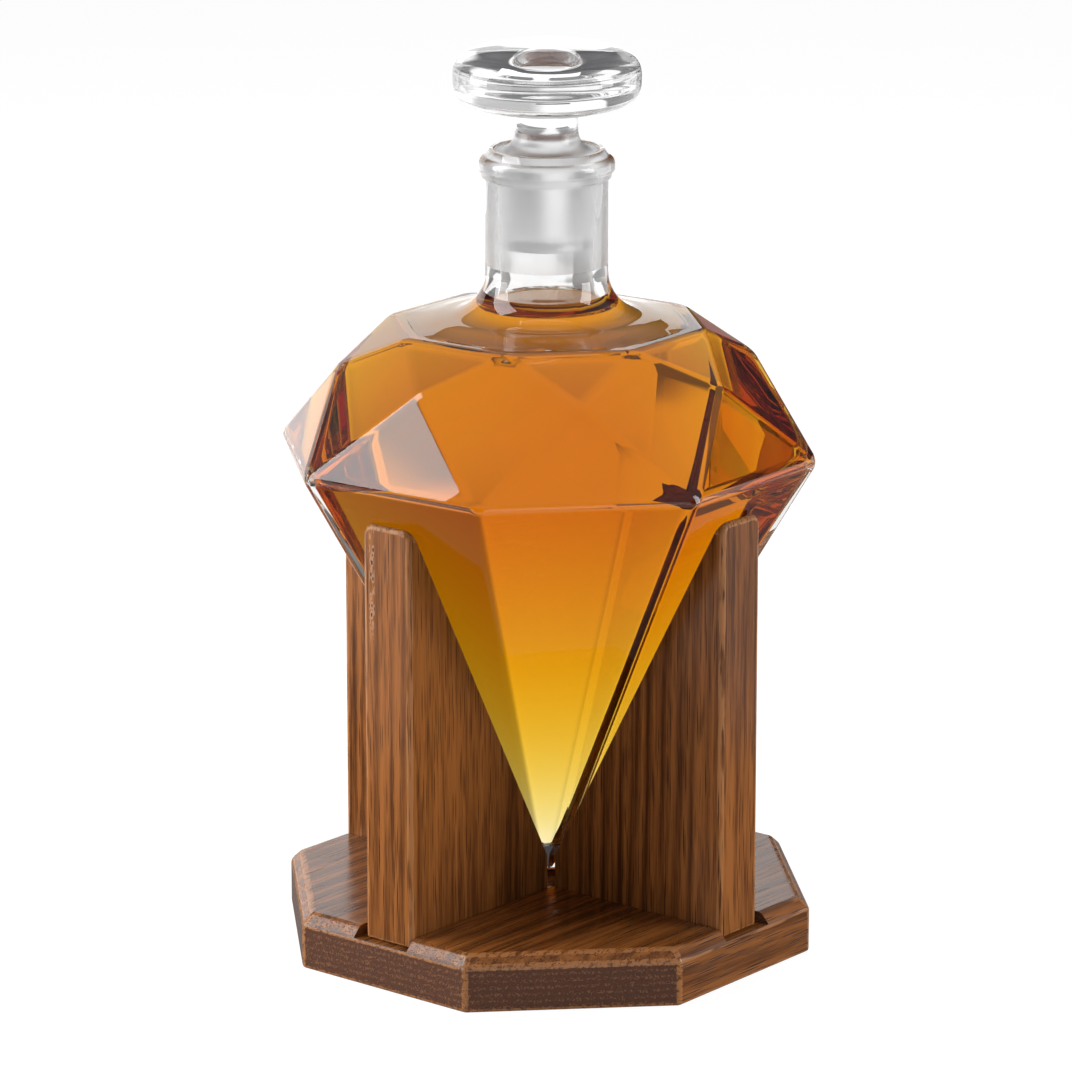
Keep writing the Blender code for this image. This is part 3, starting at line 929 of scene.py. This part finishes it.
choose(decanter)
bpy.ops.object.duplicate()
drink = name_active("drink")
edit(drink)
select_where("faces", lambda face: face.material_index != wet)
bpy.ops.mesh.delete(type="FACE")
bpy.ops.mesh.select_all(action="SELECT")
bpy.ops.mesh.flip_normals()
bpy.ops.transform.shrink_fatten(value=-skin)
select_open_edges()
bpy.ops.mesh.edge_face_add()
for width, drop in meniscus:
    bpy.ops.mesh.inset(thickness=width, depth=drop)
bpy.ops.object.mode_set(mode="OBJECT")
drink.data.materials.clear()
amber = bpy.data.materials.new("amber_spirit")
amber.use_nodes = True
amber_tree = amber.node_tree
side = amber_tree.nodes["Principled BSDF"]
top = add_node(amber_tree, "ShaderNodeBsdfPrincipled")
for shader, ior in ((side, 1.0), (top, drink_ior)):
    shader.inputs["Base Color"].default_value = clear_white
    shader.inputs["Roughness"].default_value = 0.0
    shader.inputs["IOR"].default_value = ior
    shader.inputs["Transmission Weight"].default_value = 1.0
at_top = add_node(amber_tree, "ShaderNodeAttribute", attribute_name="at_top").outputs["Fac"]
amber_mix = add_node(amber_tree, "ShaderNodeMixShader", {0: at_top, 1: side.outputs[0], 2: top.outputs[0]})
depth_colour = (*(1 - absorbed / most_absorbed for absorbed in absorbed_per_metre), 1.0)
drink_depth = add_node(
    amber_tree, "ShaderNodeVolumeAbsorption", {"Color": depth_colour, "Density": most_absorbed}
)
amber_out = amber_tree.nodes["Material Output"]
amber_tree.links.new(amber_mix.outputs[0], amber_out.inputs["Surface"])
amber_tree.links.new(drink_depth.outputs[0], amber_out.inputs["Volume"])
drink.data.materials.append(amber)
for face in drink.data.polygons:
    face.material_index = 0
# The top's faces look up, and those at its rim lean inwards, away from the glass.
on_top = [
    face.center.z > drink_height - meniscus_reach
    and face.normal.z > steepest_top
    and face.normal.xy.dot(face.center.xy) < 1e-6
    for face in drink.data.polygons
]
marks = drink.data.attributes.new("at_top", "FLOAT", "FACE")
marks.data.foreach_set("value", [float(value) for value in on_top])
smooth_facets(drink)
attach(drink, "decanter")


# Stopper: one piece of solid glass. A flat round knob, a short stem that flares out over the mouth, and
# a ground plug. Its outline is turned from the middle of the knob's top down to the middle of its foot.
knob_radius = 0.0256
knob_thickness = 0.0185
knob_squareness = 3.0
stem_radius = 0.0085
stem_top_rise = 0.0098
plug_gap = 0.0003
plug_length = 0.0265
plug_chamfer = 0.0010
stopper_crease = math.radians(35)
stem_margin = 0.0008
knob_foot_round = 0.0006
knob_foot_drop = 0.0005
collar_rim_round = 0.0004
collar_rim_drop = 0.0006
cove = 0.0045
clear_top = 0.0003
half = knob_thickness / 2
knob_bottom = lip_top + stem_top_rise
knob_centre = knob_bottom + half
knob_top = knob_centre + half


def knob_point(angle):
    """A point on the knob's squarish oval section; 90 degrees is the top and 0 the rim."""
    power = 2 / knob_squareness
    across, rise = math.cos(math.radians(angle)), math.sin(math.radians(angle))
    return knob_radius * across**power, knob_centre + math.copysign(half * abs(rise) ** power, rise)


knob_angles = (89.5, 88.5, 87, *range(85, -87, -2))
knob = [knob_point(angle) for angle in knob_angles]
knob = [p for p in knob if p[0] > stem_radius + stem_margin or p[1] > knob_centre]
plug_top_radius = bore_top_radius - plug_gap
bore_flare = bore_top_radius - bore_radius
plug_foot_radius = bore_radius + bore_flare * (1 - plug_length / ground_length) - plug_gap
plug_foot = lip_top - plug_length
collar_top = lip_top + cove + clear_top
stopper_profile = [
    *knob[1:],
    *arc((stem_radius + knob_foot_round, knob_bottom - knob_foot_drop), knob_foot_round, 90, 180, 3),
    (stem_radius, collar_top),
    *arc((plug_top_radius, collar_top), plug_top_radius - stem_radius, 180, 262, 9),
    *arc((plug_top_radius - collar_rim_round, lip_top - collar_rim_drop), collar_rim_round, 60, 0, 3),
    (plug_foot_radius, plug_foot + plug_chamfer),
    *arc((plug_foot_radius - plug_chamfer, plug_foot + plug_chamfer), plug_chamfer, 0, -90, 4),
    (plug_foot_radius / 2, plug_foot),
]
bpy.ops.object.select_all(action="DESELECT")
bpy.ops.mesh.primitive_circle_add(
    vertices=neck_segments, radius=knob[0][0], location=(0, 0, knob[0][1]), fill_type="NGON"
)
stopper = name_active("stopper_glass")
bpy.ops.object.transform_apply(location=True, rotation=True, scale=True)
edit(stopper)
bpy.ops.mesh.select_all(action="SELECT")
bpy.ops.mesh.poke(offset=0.0)
select_open_edges()
extend_ring(knob[0], stopper_profile)
bpy.ops.mesh.edge_face_add()
bpy.ops.mesh.select_all(action="SELECT")
bpy.ops.mesh.normals_make_consistent(inside=False)
bpy.ops.object.mode_set(mode="OBJECT")
for vertex in stopper.data.vertices:
    if math.hypot(vertex.co.x, vertex.co.y) < touch:
        vertex.co.z = knob_top
stopper.data.materials.append(clear_glass)
stopper.data.materials.append(ground_glass)
for face in stopper.data.polygons:
    face.material_index = int(plug_foot + just_off < face.center.z < lip_top + cove)
stopper.data.shade_smooth()
stopper.data.set_sharp_from_angle(angle=stopper_crease)
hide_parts("stopper")
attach(stopper, "stopper")


# Light passes many faces on its way through the glass and the drink, so its paths may be long.
bpy.context.scene.cycles.max_bounces = 32
bpy.context.scene.cycles.transmission_bounces = 32
bpy.context.scene.cycles.glossy_bounces = 16
